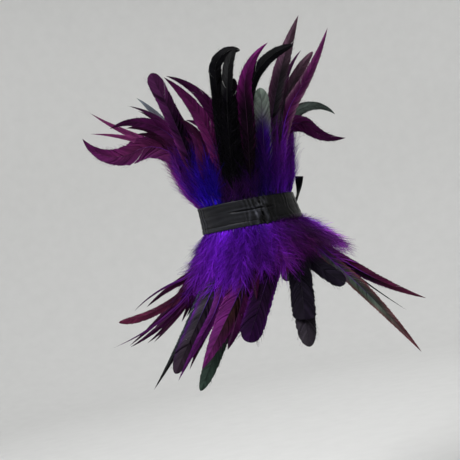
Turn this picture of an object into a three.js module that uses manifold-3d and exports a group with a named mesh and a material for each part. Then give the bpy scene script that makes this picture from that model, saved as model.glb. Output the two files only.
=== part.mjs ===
// Feather choker: a satin ribbon band tied at the back, with a fringe of dyed feathers that rises from
// it and another that falls. Millimetres, +Z up along the neck, the tie at +Y and the front at -Y.
// The origin is on the neck axis, at the middle of the band's height.

import * as THREE from "three";
import { mergeVertices } from "three/addons/utils/BufferGeometryUtils.js";
import Module from "manifold-3d";

const wasm = await Module();
wasm.setup();

// Neck and band
const BAND_HEIGHT = 30;
const BAND_RADIUS = 57.3; // outer, at half height
const NECK_FLARE = 0.087; // growth of every radius for each mm downwards
const NECK_LEAN = 0.18; // shift to the front for each mm upwards
const RIBBON_WALL = 1.4;
const GAP = 0.35; // between neighbouring pieces
const BAND_SECTIONS = 48;
const HEM_HEIGHT = 5; // turned hem along the lower edge
const HEM_RELIEF = 0.5;
const CREASE_Z = 3.5; // lower edge of the upper layer, where the ribbon is folded on itself
const CREASE_RELIEF = 0.7;
const CREASE_STEP = 0.4; // height over which a fold or hem rises
const CREASE_MIDDLE = -60; // degrees round the neck from +X
const CREASE_HALF_SPAN = 55;
const CREASE_WHOLE = 0.6; // share of the half span with the crease at its full relief

// Gather of the ribbon
const GATHER_ANGLE = -25;
const GATHER_HALF_ANGLE = 9;
const GATHER_PINCH = 0.35; // share of its width that the pinch takes at half height
const GATHER_BOTTOM = -14.5;
const GATHER_TOP = 12;
const GATHER_DEPTH = 4;
const GATHER_PLEATS = 3;
const PLEAT_DEPTH = 0.25; // half of the swing between a pleat's crest and its valley, as a share
const GATHER_EDGE = 0.1; // share of a half wave cut off at each side, so that the lump has a real edge
const GATHER_END = 0.35; // share of its depth that is left at its upper and lower ends
const GATHER_COLUMNS = 12;
const GATHER_ROWS = 6;

// Tie
const TIE_ANGLE = 90;
const KNOT_HALF_SIZES = [7, 4.5, 6]; // along the band, out from it and up
const KNOT_SIDES = 14;
const KNOT_ROWS = 9;
const TAIL_WALL = 1.2;
// Stations of the two ribbon ends: along the band from the knot, out from the band, up, width, and
// degrees that the ribbon is turned about its own length.
const TAIL_COLUMNS = ["along", "out", "up", "width", "turn"];
const TAIL_UP = [
  [-2, 5, 1, 5, 10],
  [-9, 8, 3, 4, 0],
  [-15, 9, 9, 6, -30],
  [-20, 10, 20, 9, -10],
  [-23, 11, 33, 9, 30],
];
const TAIL_DOWN = [
  [2, 5, -1, 5, 0],
  [6, 10, -8, 7, 10],
  [9, 22, -18, 9, 10],
  [11, 38, -30, 9, 0],
  [12, 55, -40, 9, -10],
];

// Backing tapes and the roots of the feathers
const TAPE_WALL = 1.6;
const TAPE_BOTTOM = 1.5; // from half height of the band
const TAPE_TOP = 19.5;
const TAPE_SECTIONS = 36;
const ROOT_HEIGHT = 17; // just past the rims of the band

// Feather blades
const BLADE_THICKNESS = 1.8;
const TIP_THICKNESS = 0.8;
const TIP_WIDTH = 0.9;
const QUILL_WIDTH = 2.4;
const QUILL_END = 0.25; // share of the length where the bare quill ends and the vane begins
const FULL_WIDTH_AT = 0.5;
const ROUND_TIP = 0.7; // a taper that starts later than this gives a rounded tip
// A tip narrows as (1 - t ^ swell) ^ fade, with t from 0 where the taper starts to 1 at the end.
const POINTED = { swell: 1.4, fade: 0.9 };
const ROUNDED = { swell: 2.6, fade: 0.6 };
const TURN_FOR_EACH_SEGMENT = 30;
const FEWEST_SEGMENTS = 2; // on each side of the bend
const CURVE_STEPS = 64;
const TIP_STATION = 0.96;

// Side that the two tables of feathers describe, seen square on from this azimuth
const SIDE_AZIMUTH = 50;
// The other side mirrors the rows between these angles. They are shorter in turn there by these shares,
// and lean out further, those below the band over a shoulder.
const MIRROR_FROM = 35;
const MIRROR_TO = 148;
const MIRROR_LEAN_ABOVE = 12;
const MIRROR_LEAN_BELOW = 26;
const MIRROR_LENGTHS = [0.8, 0.86, 0.76, 0.83];

// Columns: degrees round the band from the right edge of the side view, length, share of the length
// where the two bends meet, tilt to the right of the neck axis at the root, there and at the tip, lean
// out of the side view, width, turn about its own length and share of the length where the tip begins.
const FEATHER_COLUMNS = [
  "round", "length", "bendAt", "tiltRoot", "tiltBend", "tiltTip", "lean", "width", "turn", "taper",
];
const UPPER_FEATHERS = [
  [162, 184, 0.63, -3, -113, -21, 8, 26, 0, 0.6],
  [172, 175, 0.55, -7, -61, -48, 7, 9, 20, 0.6],
  [172, 166, 0.55, -7, -60, -80, 11, 8, 20, 0.6],
  [150, 164, 0.51, -4, -31, -111, 12, 16, 0, 0.6],
  [189, 160, 0.52, -1, -19, -70, -4, 11, 20, 0.5],
  [199, 159, 0.55, -9, -17, -44, -8, 20, 20, 0.4],
  [140, 163, 0.5, -12, -11, -19, 18, 18, 0, 0.9],
  [111, 168, 0.41, 2, 7, -68, 12, 15, 0, 0.6],
  [116, 161, 0.31, 4, -2, -45, 18, 18, 0, 0.55],
  [127, 114, 0.58, -2, -3, -63, 18, 11, 0, 0.5],
  [111, 188, 0.77, 5, 4, 119, 18, 14, 0, 0.75],
  [101, 170, 0.86, 3, 14, 52, 19, 13, 0, 0.8],
  [101, 129, 0.64, -2, 2, 23, 16, 17, 0, 0.75],
  [93, 135, 0.59, 0, 7, 16, 16, 15, 0, 0.75],
  [89, 110, 0.64, -1, 5, 6, 15, 16, 0, 0.75],
  [83, 180, 0.64, 8, 4, 66, 19, 19, 0, 0.6],
  [76, 190, 0.58, 0, 16, 88, 10, 14, 0, 0.72],
  [63, 119, 0.65, 7, 7, 5, 12, 18, 0, 0.85],
  [53, 201, 0.26, 0, 14, 32, 8, 18, 0, 0.68],
  [14, 170, 0.7, 0, 21, 50, -2, 10, 0, 0.6],
  [48, 167, 0.42, 6, 20, 50, 6, 13, 0, 0.72],
  [31, 194, 0.58, 3, 44, 27, 14, 17, 0, 0.45],
  [14, 146, 0.51, -3, 26, 145, 0, 16, 0, 0.6],
  [28, 156, 0.72, -19, 143, 91, 4, 21, 0, 0.6],
];
const LOWER_FEATHERS = [
  [164, 155, 0.47, -19, -59, -93, 5, 10, 20, 0.8],
  [158, 177, 0.47, -21, -54, -79, 8, 5, 20, 0.3],
  [156, 127, 0.52, -26, -79, -53, 8, 4, 20, 0.3],
  [169, 159, 0.48, -23, -52, -61, 2, 11, 20, 0.4],
  [137, 192, 0.3, -16, -32, -42, 15, 12, 0, 0.4],
  [124, 174, 0.31, -12, -35, -34, 20, 20, 0, 0.8],
  [122, 184, 0.62, -12, -42, -36, 22, 13, 0, 0.4],
  [92, 180, 0.3, -5, -35, -38, 25, 25, 0, 0.6],
  [113, 186, 0.6, -9, -30, -34, 15, 17, 0, 0.75],
  [62, 154, 0.24, -8, -28, -29, 30, 26, 0, 0.85],
  [44, 128, 0.25, 12, -6, -7, 31, 26, 0, 0.93],
  [45, 157, 0.26, 14, -9, -3, 28, 22, 0, 0.8],
  [48, 103, 0.47, 9, 35, 51, 20, 18, 0, 0.85],
  [21, 173, 0.24, 22, 42, 63, 8, 14, 0, 0.5],
  [21, 162, 0.26, 21, 38, 47, 10, 3, 0, 0.3],
  [28, 205, 0.28, 23, 38, 29, 10, 15, 0, 0.5],
];

// Fluff round the feather roots: one wall whose locks swell and end in points, all round the band. Its
// tilts lean straight out from the neck at its foot and at its points. leanSwing is added to them at the
// right edge of the side view and taken off at its left edge.
const UPPER_FLUFF = { lengths: [74, 64, 78, 68], tilts: [16, 8], leanSwing: -6 };
const LOWER_FLUFF = { lengths: [72, 58, 80, 64], tilts: [34, 37], leanSwing: 10 };
const FLUFF_LOCKS = 24;
const FLUFF_POINTS_PER_LOCK = 2;
const FLUFF_VALLEY = 0.78; // length between two locks, as a share
const FLUFF_HOLLOW = 0.65; // thickness between two locks, as a share
// Sections of the wall: share of its length and thickness
const FLUFF_SECTIONS = [[0, 3], [0.5, 6], [1, 1.2]];

const radians = THREE.MathUtils.degToRad;
const UP = new THREE.Vector3(0, 0, 1);

// Vector at an angle round the neck
function outward(angle) {
  return new THREE.Vector3(Math.cos(radians(angle)), Math.sin(radians(angle)), 0);
}

// Middle of the neck and outer radius of the band at a height
function neckCentre(z) {
  return new THREE.Vector3(0, -NECK_LEAN * z, z);
}

function bandRadius(z) {
  return BAND_RADIUS - NECK_FLARE * z;
}

function onNeck(angle, radius, z) {
  return neckCentre(z).addScaledVector(outward(angle), radius);
}

function named(columns, row) {
  return Object.fromEntries(columns.map((column, i) => [column, row[i]]));
}

// Closed solid through rings of points, with the first and last ring capped, or joined in a loop
function loft(rings, loop = false) {
  const sides = rings[0].length;
  const positions = rings.flat().flatMap((point) => point.toArray());
  const indices = [];
  const spans = loop ? rings.length : rings.length - 1;
  for (let i = 0; i < spans; i += 1) {
    const here = i * sides;
    const next = ((i + 1) % rings.length) * sides;
    for (let j = 0; j < sides; j += 1) {
      const k = (j + 1) % sides;
      indices.push(here + j, here + k, next + k, here + j, next + k, next + j);
    }
  }
  if (!loop) {
    const last = (rings.length - 1) * sides;
    for (let j = 1; j < sides - 1; j += 1) {
      indices.push(0, j + 1, j, last, last + j, last + j + 1);
    }
  }
  const geometry = new THREE.BufferGeometry();
  geometry.setAttribute("position", new THREE.Float32BufferAttribute(positions, 3));
  geometry.setIndex(indices);
  return geometry;
}

function toSolid(geometry) {
  const bare = geometry.clone();
  bare.deleteAttribute("normal");
  bare.deleteAttribute("uv");
  const merged = mergeVertices(bare);
  return new wasm.Manifold(
    new wasm.Mesh({
      numProp: 3,
      vertProperties: Float32Array.from(merged.attributes.position.array),
      triVerts: Uint32Array.from(merged.index.array),
    }),
  );
}

function fused(geometries) {
  const mesh = geometries.map(toSolid).reduce((whole, solid) => whole.add(solid)).getMesh();
  const geometry = new THREE.BufferGeometry();
  geometry.setAttribute("position", new THREE.BufferAttribute(mesh.vertProperties, 3));
  geometry.setIndex(new THREE.BufferAttribute(mesh.triVerts, 1));
  return geometry;
}

// Ring of wall round the neck from a closed section at each angle, which runs up on its outer side
function neckRing(sections, sectionAt) {
  const rings = [];
  for (let i = 0; i < sections; i += 1) {
    rings.push(sectionAt((360 * i) / sections).reverse());
  }
  return loft(rings, true);
}

// How much of the crease shows at an angle: whole in its middle and none past its span
function creaseShare(angle) {
  const away = Math.abs(THREE.MathUtils.euclideanModulo(angle - CREASE_MIDDLE + 180, 360) - 180);
  return 1 - THREE.MathUtils.smoothstep(away, CREASE_HALF_SPAN * CREASE_WHOLE, CREASE_HALF_SPAN);
}

function bandSection(angle) {
  const bottom = -BAND_HEIGHT / 2;
  const top = BAND_HEIGHT / 2;
  const hemTop = bottom + HEM_HEIGHT;
  const fold = CREASE_RELIEF * creaseShare(angle);
  const outer = [
    [bottom, HEM_RELIEF],
    [hemTop - CREASE_STEP, HEM_RELIEF],
    [hemTop, 0],
    [CREASE_Z - CREASE_STEP, fold],
    [CREASE_Z, 0],
    [top, 0],
  ].map(([z, relief]) => [bandRadius(z) + relief, z]);
  const inner = [top, bottom].map((z) => [bandRadius(z) - RIBBON_WALL, z]);
  return [...outer, ...inner].map(([radius, z]) => onNeck(angle, radius, z));
}

function neckBand() {
  return neckRing(BAND_SECTIONS, bandSection);
}

// Pinched lump of ribbon with upright pleats, on the outside of the band
function bandGather() {
  const rings = [];
  for (let row = 0; row <= GATHER_ROWS; row += 1) {
    const v = row / GATHER_ROWS;
    const z = THREE.MathUtils.lerp(GATHER_BOTTOM, GATHER_TOP, v);
    const base = bandRadius(z) + HEM_RELIEF + CREASE_RELIEF + GAP;
    const half = GATHER_HALF_ANGLE * (1 - GATHER_PINCH * Math.sin(Math.PI * v));
    const face = [];
    const back = [];
    for (let column = 0; column <= GATHER_COLUMNS; column += 1) {
      const u = column / GATHER_COLUMNS;
      const angle = GATHER_ANGLE + half * (2 * u - 1);
      const crown = Math.sin(Math.PI * THREE.MathUtils.lerp(GATHER_EDGE, 1 - GATHER_EDGE, u));
      const swell = THREE.MathUtils.lerp(GATHER_END, 1, Math.sin(Math.PI * v));
      const pleat = 1 - PLEAT_DEPTH + PLEAT_DEPTH * Math.cos(2 * Math.PI * GATHER_PLEATS * u);
      face.push(onNeck(angle, base + GATHER_DEPTH * crown * swell * pleat, z));
      back.unshift(onNeck(angle, base, z));
    }
    rings.push([...back, ...face]);
  }
  return loft(rings);
}

// Ribbon end through its stations, seen from the knot
function tail(rows) {
  const out = outward(TIE_ANGLE);
  const along = new THREE.Vector3().crossVectors(UP, out);
  const start = onNeck(TIE_ANGLE, bandRadius(0), 0);
  const stations = rows.map((row) => named(TAIL_COLUMNS, row));
  const places = stations.map((s) =>
    start.clone().addScaledVector(along, s.along).addScaledVector(out, s.out).addScaledVector(UP, s.up),
  );
  const curve = new THREE.CatmullRomCurve3(places);
  const rings = stations.map((s, i) => {
    const heading = curve.getTangent(i / (stations.length - 1));
    const wide = along.clone().addScaledVector(heading, -along.dot(heading)).normalize();
    wide.applyAxisAngle(heading, radians(s.turn));
    const thick = new THREE.Vector3().crossVectors(heading, wide);
    return [[-1, -1], [1, -1], [1, 1], [-1, 1]].map(([x, y]) =>
      places[i]
        .clone()
        .addScaledVector(wide, (x * s.width) / 2)
        .addScaledVector(thick, (y * TAIL_WALL) / 2),
    );
  });
  return loft(rings);
}

function ribbonTie() {
  const [along, out, up] = KNOT_HALF_SIZES;
  const knot = new THREE.SphereGeometry(1, KNOT_SIDES, KNOT_ROWS);
  knot.scale(along, out, up);
  const reach = bandRadius(-up) + HEM_RELIEF + GAP + out;
  const place = onNeck(TIE_ANGLE, reach, 0);
  knot.rotateZ(radians(TIE_ANGLE - 90));
  knot.translate(place.x, place.y, place.z);
  return fused([knot, tail(TAIL_UP), tail(TAIL_DOWN)]);
}

// Tape under the band that holds the roots of one fringe, side 1 above and -1 below
function backingTape(side) {
  const [bottom, top] = [side * TAPE_BOTTOM, side * TAPE_TOP].sort((a, b) => a - b);
  const outer = (z) => bandRadius(z) - RIBBON_WALL - GAP;
  return neckRing(TAPE_SECTIONS, (angle) => [
    onNeck(angle, outer(bottom), bottom),
    onNeck(angle, outer(top), top),
    onNeck(angle, outer(top) - TAPE_WALL, top),
    onNeck(angle, outer(bottom) - TAPE_WALL, bottom),
  ]);
}

// Root of a feather inside the tape
function rootAt(angle, side) {
  const z = side * ROOT_HEIGHT;
  return onNeck(angle, bandRadius(z) - RIBBON_WALL - GAP - TAPE_WALL / 2, z);
}

// Wall of fluff from the roots, side 1 above and -1 below
function fluffWall(side, fluff) {
  const sectionAt = (angle) => {
    const round = THREE.MathUtils.euclideanModulo(SIDE_AZIMUTH - angle, 360);
    const lock = (round * FLUFF_LOCKS) / 360;
    const crest = Math.abs(Math.cos(Math.PI * lock));
    const length = fluff.lengths[Math.round(lock) % fluff.lengths.length];
    const reach = length * THREE.MathUtils.lerp(FLUFF_VALLEY, 1, crest);
    const swell = THREE.MathUtils.lerp(FLUFF_HOLLOW, 1, crest);
    const swing = fluff.leanSwing * Math.cos(radians(round));
    const root = rootAt(angle, side);
    const outer = [];
    const inner = [];
    for (const [share, thickness] of FLUFF_SECTIONS) {
      const tilt = radians(THREE.MathUtils.lerp(fluff.tilts[0], fluff.tilts[1], share) + swing);
      const chord = radians(THREE.MathUtils.lerp(fluff.tilts[0], fluff.tilts[1], share / 2) + swing);
      const middle = root
        .clone()
        .addScaledVector(outward(angle), reach * share * Math.sin(chord))
        .addScaledVector(UP, side * reach * share * Math.cos(chord));
      const across = outward(angle)
        .multiplyScalar(Math.cos(tilt))
        .addScaledVector(UP, -side * Math.sin(tilt));
      outer.push(middle.clone().addScaledVector(across, (thickness * swell) / 2));
      inner.unshift(middle.clone().addScaledVector(across, (-thickness * swell) / 2));
    }
    const section = [...outer, ...inner];
    return side > 0 ? section : section.reverse();
  };
  return neckRing(FLUFF_LOCKS * FLUFF_POINTS_PER_LOCK, sectionAt);
}

// Tilt at a share of the length: it grows slowly from the stiff root to the first bend, then evenly
function tiltAt(feather, share) {
  const { bendAt, tiltRoot, tiltBend, tiltTip } = feather;
  if (share < bendAt) {
    return tiltRoot + (tiltBend - tiltRoot) * (share / bendAt) ** 2;
  }
  return tiltBend + ((tiltTip - tiltBend) * (share - bendAt)) / (1 - bendAt);
}

// Half width at a share of the length
function halfWidth(feather, share) {
  const grown = THREE.MathUtils.smoothstep(share, QUILL_END, FULL_WIDTH_AT);
  const vane = THREE.MathUtils.lerp(QUILL_WIDTH, feather.width, grown);
  const point = Math.max(0, (share - feather.taper) / (1 - feather.taper));
  const { swell, fade } = feather.taper < ROUND_TIP ? POINTED : ROUNDED;
  return Math.max(TIP_WIDTH, vane * (1 - point ** swell) ** fade) / 2;
}

// Shares of the length where a blade has a section, closer where it bends more
function stationsOf(feather) {
  const spans = [
    [0, feather.bendAt, feather.tiltBend - feather.tiltRoot],
    [feather.bendAt, 1, feather.tiltTip - feather.tiltBend],
  ];
  const shares = [0, QUILL_END, TIP_STATION];
  for (const [from, to, turn] of spans) {
    const segments = Math.max(FEWEST_SEGMENTS, Math.ceil(Math.abs(turn) / TURN_FOR_EACH_SEGMENT));
    for (let i = 1; i <= segments; i += 1) {
      shares.push(THREE.MathUtils.lerp(from, to, i / segments));
    }
  }
  return shares.sort((a, b) => a - b);
}

// Blade with a diamond section. It tilts in the plane of up and aside and leans out along face.
function blade(feather, root, side, aside, face) {
  const lean = radians(feather.lean);
  const heading = (share) => {
    const tilt = radians(tiltAt(feather, share));
    return new THREE.Vector3()
      .addScaledVector(aside, Math.cos(lean) * Math.sin(tilt))
      .addScaledVector(UP, side * Math.cos(lean) * Math.cos(tilt))
      .addScaledVector(face, Math.sin(lean));
  };
  const line = [root.clone()];
  for (let i = 0; i < CURVE_STEPS; i += 1) {
    const step = heading((i + 0.5) / CURVE_STEPS).multiplyScalar(feather.length / CURVE_STEPS);
    line.push(line[i].clone().add(step));
  }
  const rings = stationsOf(feather).map((share) => {
    const i = Math.min(CURVE_STEPS - 1, Math.floor(share * CURVE_STEPS));
    const place = line[i].clone().lerp(line[i + 1], share * CURVE_STEPS - i);
    const along = heading(share);
    const wide = new THREE.Vector3().crossVectors(face, along).normalize();
    wide.applyAxisAngle(along, radians(feather.turn));
    const thick = new THREE.Vector3().crossVectors(along, wide);
    const half = halfWidth(feather, share);
    const depth = THREE.MathUtils.lerp(BLADE_THICKNESS, TIP_THICKNESS, share) / 2;
    return [
      place.clone().addScaledVector(wide, half),
      place.clone().addScaledVector(thick, depth),
      place.clone().addScaledVector(wide, -half),
      place.clone().addScaledVector(thick, -depth),
    ];
  });
  return loft(rings);
}

// Feathers of the table on the side it describes, and those of its middle mirrored on the other
function sideFeathers(rows, side) {
  const toward = outward(SIDE_AZIMUTH - 90);
  const across = outward(SIDE_AZIMUTH);
  const feathers = rows.map((row) => named(FEATHER_COLUMNS, row));
  const seen = feathers.map((feather) =>
    blade(feather, rootAt(SIDE_AZIMUTH - feather.round, side), side, across, toward),
  );
  const away = toward.clone().negate();
  const mirrored = feathers
    .filter(({ round }) => round > MIRROR_FROM && round < MIRROR_TO)
    .map((feather, i) => {
      const length = feather.length * MIRROR_LENGTHS[i % MIRROR_LENGTHS.length];
      const lean = feather.lean + (side > 0 ? MIRROR_LEAN_ABOVE : MIRROR_LEAN_BELOW);
      const root = rootAt(SIDE_AZIMUTH + feather.round, side);
      return blade({ ...feather, length, lean }, root, side, across, away);
    });
  return [...seen, ...mirrored];
}

function fringe(side, rows, fluff) {
  return fused([backingTape(side), fluffWall(side, fluff), ...sideFeathers(rows, side)]);
}

const satin = new THREE.MeshStandardMaterial({ color: 0x17181b, roughness: 0.42, metalness: 0 });
const dyedFeather = new THREE.MeshStandardMaterial({ color: 0x4a1170, roughness: 0.6, metalness: 0 });

const choker = new THREE.Group();

function addPiece(name, geometry, material) {
  geometry.computeVertexNormals();
  const mesh = new THREE.Mesh(geometry, material);
  mesh.name = name;
  choker.add(mesh);
}

addPiece("neck_band", neckBand(), satin);
addPiece("band_gather", bandGather(), satin);
addPiece("ribbon_tie", ribbonTie(), satin);
addPiece("upper_feather_fringe", fringe(1, UPPER_FEATHERS, UPPER_FLUFF), dyedFeather);
addPiece("lower_feather_fringe", fringe(-1, LOWER_FEATHERS, LOWER_FLUFF), dyedFeather);

export default choker;
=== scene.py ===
"""Looks of the feather choker: a black satin ribbon band, tied at the back, with a fringe of dyed feathers
that rises from it and another that falls. Sizes are in millimetres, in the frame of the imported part: +Z up
along the neck, the tie at +Y and the front at -Y. Meshes are written in metres, and colours are given in
thousandths of full light."""

import math

import bpy
import numpy as np
from mathutils import Matrix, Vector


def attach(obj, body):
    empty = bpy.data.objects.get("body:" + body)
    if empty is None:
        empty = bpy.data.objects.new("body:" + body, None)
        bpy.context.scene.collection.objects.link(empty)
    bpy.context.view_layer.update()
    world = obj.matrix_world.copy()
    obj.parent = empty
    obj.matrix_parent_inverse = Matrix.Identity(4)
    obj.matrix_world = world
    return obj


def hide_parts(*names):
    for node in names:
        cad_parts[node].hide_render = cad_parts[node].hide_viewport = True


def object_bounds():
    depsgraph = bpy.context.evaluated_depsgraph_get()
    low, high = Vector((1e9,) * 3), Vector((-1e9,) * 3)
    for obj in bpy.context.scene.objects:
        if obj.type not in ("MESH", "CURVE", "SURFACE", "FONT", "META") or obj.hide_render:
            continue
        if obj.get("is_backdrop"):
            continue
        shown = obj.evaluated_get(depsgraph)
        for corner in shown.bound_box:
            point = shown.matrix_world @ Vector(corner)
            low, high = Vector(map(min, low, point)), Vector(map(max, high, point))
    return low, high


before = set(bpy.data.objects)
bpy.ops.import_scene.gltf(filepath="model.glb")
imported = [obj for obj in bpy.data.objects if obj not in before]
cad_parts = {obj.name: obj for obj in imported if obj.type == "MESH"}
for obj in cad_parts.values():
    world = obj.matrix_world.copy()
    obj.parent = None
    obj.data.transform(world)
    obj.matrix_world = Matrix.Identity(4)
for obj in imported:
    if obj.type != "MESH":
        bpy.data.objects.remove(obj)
CAD_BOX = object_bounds()

MM = 0.001
SEED = 11
UP = np.array([0.0, 0.0, 1.0])
PHASE = 6  # largest shift of a wave, in radians
SIDE_AZIMUTH = 50  # the way to the right of the photo and of the tables, in degrees from +X

# Camera, fitted to the band in the photo
CAMERA_ELEVATION = -0.7
CAMERA_ROLL = 10.5
CAMERA_DISTANCE = 1300
PICTURE_WIDTH = 460  # pixels
PIXEL_SIZE = 1.157  # mm at the origin
ORIGIN_FROM_MIDDLE = (18.9, 16.6)  # pixels right of and above the middle of the photo
SENSOR_MM = 36

# Stage and lights
STAGE_RADIUS = 2600
STAGE_COVE = 700
STAGE_HEIGHT = 2600
STAGE_STEPS = (96, 16)  # round it and up the cove
FLOOR_Z = -420
# Metres to the right of the picture, up and towards the camera, size and power
LIGHTS = {
    "key": (-0.75, 1.0, 0.85, 0.7, 27),
    "fill": (1.6, 0.7, 1.5, 1.6, 5),
    "back": (0.3, 1.9, -1.4, 1.6, 24),
}

# Neck and band. Angles are degrees round the neck from +X.
BAND_HEIGHT = 30
BAND_TOP = BAND_HEIGHT / 2
BAND_RADIUS = 57.3  # outer, at half height
NECK_FLARE = 0.087  # growth of every radius for each mm downwards
NECK_LEAN = 0.18  # shift to the front for each mm upwards
RIBBON_WALL = 1.4
GAP = 0.35
BAND_STEPS = (540, 76, 9)  # round it, up its outside and down its inside

# Folds of the band. Each ridge or pit along a line has its height, its place past the line and its half
# width. Each noise has its seed, number of waves and largest number of turns.
CREASE_Z = 3.5
CREASE_WAVE = 0.5
CREASE_STEP = 0.35
CREASE_SLOPE = 0.8
CREASE_MIDDLE = -60
CREASE_FADE = (33, 55)  # degrees from its middle over which it ends
SLIT_START = (-8, 14)  # degrees from there over which its dark slit opens and closes
SLIT_END = (44, 54)
SLIT_LIP = (0.7, -1.9, 0.9)
SLIT_PIT = (-1.5, -0.2, 0.8)
HEM_HEIGHT = 5
HEM_STEP = 0.4
HEM_SLOPE = (-0.3, 0.2)
HEM_SEAM = (-0.5, 0.4, 0.5)
TOP_ROLL = (0.3, -0.9, 0.6)
EDGE_DROP = 0.4
EDGE_ROUND = 0.5
END_FOLD_ANGLES = (-102, -108, -115)
END_FOLD = (0.9, 0, 1.2)
END_FOLD_SWAY = 0.8
WRINKLES = 70  # round the whole neck
WRINKLE_DEPTH = 0.5
WRINKLE_NOISE = (3, 5, 12)
WRINKLE_PATCHES = (4, 4, 20)
WRINKLE_START = 14  # degrees past the gather
WRINKLE_FADE = (85, 135)
PUCKERS = 60
PUCKER_DEPTH = 0.8
PUCKER_NOISE = (5, 6, 30)
PUCKER_REACH = 16
SOFT_RELIEF = 0.2
SOFT_NOISE = (6, 6, 9)
SOFT_RIPPLE = 0.12
NOISE_RISE = 0.12  # spread of its slants, in radians for each mm
NOISE_PHASE = 6.3

# Gather of the ribbon
GATHER_ANGLE = -25
GATHER_HALF_ANGLE = 9
GATHER_DEPTH = 4
GATHER_BOTTOM = -14.5
GATHER_TOP = 12
GATHER_STEPS = 70
GATHER_WAIST = 0.3
GATHER_OUT = 0.5
GATHER_TUCK = 0.9
GATHER_PARTS = (0.3, 0.55, 0.2)  # shares of its depth in the plain crown, its folds and its lumps
KNOT_DROP = 2.5  # how far its lower end hangs past the band
HOLLOW_HALF_ANGLE = 6.5  # of the dip in the band under it
HOLLOW_SLOPE = 4
HOLLOW_DEPTH = 1.1
PIT_FLOOR = -1.3
PIT_DEPTH = 3.6
GATHER_SLIT = (-3, -0.4, 0.8)
# Dents of the gather: place across it from -1 to 1, up it from 0 to 1, and size
GATHER_PITS = [(-0.28, 0.4, 0.18), (-0.45, 0.14, 0.28), (-0.12, 0.9, 0.14)]
# Painted shade in the hollows and painted highlights on pale patches of the satin round the gather: degrees
# from its middle, height, half sizes in degrees and mm, and how far each lightens the satin or darkens it
PAINTED_GATHER_LIGHT = [
    (-8.2, 8.5, 1.2, 2.5, -2.2),
    (-1.0, 10, 1.4, 2.2, -2.2),
    (-7.5, -2.5, 4.5, 4.0, 1.3),
    (-2.2, -4.0, 1.7, 4.0, -3.0),
    (3.2, -2.5, 1.6, 4.5, 1.5),
    (8.5, -3.2, 2.6, 7.0, -1.6),
    (-4.0, -11.2, 3.5, 3.2, -3.0),
    (5.8, 7.8, 2.2, 2.5, 1.2),
    (6.8, 3.8, 2.0, 2.2, -1.8),
    (13, 7.2, 2.5, 5.0, -1.0),
]

# Colour of the satin, and the light and shade painted on it
SATIN_COLOUR = (9, 9.4, 11.5)
RIDGE_CONTRAST = 2.8  # painted light: change of its brightness for each mm above or below its surroundings, paler on ridges and darker in folds
RIDGE_RANGE = (-2.6, 0.9)
RIDGE_REACH = 7  # points to each side that count as surroundings, on the band and on the gather
GATHER_REACH = 9
SHADOW = 0.75  # where the band turns from the light, between these degrees past the gather
SHADOW_START = (-2, 14)
SHADOW_END = (120, 150)
UPPER_SHADOW = 0.25  # above the crease
GATHER_SHADE = 0.8
GATHER_SHADOW = 0.35

# Tapes under the band and the roots of the feathers
TAPE_WALL = 1.6
TAPE_BOTTOM = 1.5
TAPE_TOP = 19.5
TAPE_STEPS = (180, 25)  # round it and up it
TAPE_STEP = 1.2  # how far it stands back past the rim of the band, behind the roots
TAPE_SLOPE = (-0.6, 0.2)
TAPE_WAVE = 0.12
TAPE_NOISE = (8, 6, 25)
TAPE_SHADE = 0.3  # painted shade there: the fluff's root colour darkened to this share
ROOT_HEIGHT = 15.5
FLUFF_ROOT_HEIGHT = 13  # the fluff starts under the band

# Tie
TIE_ANGLE = 90
KNOT_HALF_SIZES = (7, 4.5, 6)  # along the band, out from it and up
KNOT_OUT = 1.2
KNOT_STEPS = (36, 72)
KNOT_POLE = 0.02  # radians left open at each end, where the ribbon comes out
KNOT_TURNS = 3
KNOT_TILT = 0.5
KNOT_GROOVE = 0.14
TAIL_WALL = 0.7
TAIL_STEPS = (41, 11)  # along it and across it
TAIL_CURL = 0.9
TAIL_RIPPLE = 0.25
# Along the band from the knot, out from the band, up, width and turn about its own length
TAIL_UP = [
    (-2, 5, 1, 6, 10),
    (-9, 8, 3, 5, 0),
    (-15, 9, 9, 7, -30),
    (-20, 10, 20, 10, -10),
    (-23, 11, 33, 10, 30),
]
TAIL_DOWN = [
    (2, 5, -1, 6, 0),
    (6, 10, -8, 8, 10),
    (9, 22, -18, 10, 10),
    (11, 38, -30, 10, 0),
    (12, 55, -40, 10, -10),
]

# Vanes
CURVE_STEPS = 64
VANE_START = 0.14  # share of the length where the vane begins
VANE_GROWTH = (0.04, 0.45)  # shares between which it grows to its full width
NARROWEST = 0.35
ROUND_TIP = 0.7  # a taper that starts later than this gives a rounded tip
POINTED = (1.4, 0.9)
ROUNDED = (2.6, 0.6)
VANE_CUP = 0.12
VANE_WAVE = 0.5
VANE_WAVES = 9
BARB_STEP = 1.1
BARB_SECTIONS = 5
BARB_SLANT = 1.7  # how far a barb runs forwards for each mm that it runs out
BARB_BEND = 1.2
BARB_EASE = 0.3
BARB_LENGTHS = (0.92, 1.04)
BARB_ROOTS = (0.02, 0.985)
BARB_RIPPLE = 0.09
SHORTEST_BARB = 6
MOST_SPLITS = 1  # in each half of a vane, between these shares of its length
SPLIT_SPAN = (0.4, 0.92)
SPLIT_DEPTHS = (0.1, 0.6)  # half of the gap at the edge
SPLIT_FADE = 6
TIP_DYE_SPAN = (0.6, 1.0)
ROOT_DYE_SPAN = (0.16, 0.38)
ROOT_DYE_SLANT = 0.1
ROOT_DYE_SHARE = 0.8  # of the colour of the fluff's root, with that of its points
BAND_CONTRAST = 0.18
BAND_WAVES = (20, 40)
BARB_CONTRAST = 0.2

# Frayed edges
FRAY_FOR_EACH_MM = 0.5
FRAY_SPAN = (0.3, 0.96)
FRAY_SECTIONS = 3
FRAY_SLANT = 0.9
FRAY_START = 0.75  # shares of the half width where a loose end starts, and that it adds
FRAY_REACH = (0.27, 0.5)
FRAY_RISE = 0.1
FRAY_WIDTH = 0.26
FRAY_TAPER = 0.8
FRAY_SHADES = (-0.2, 0.25)  # mean and spread

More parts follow.
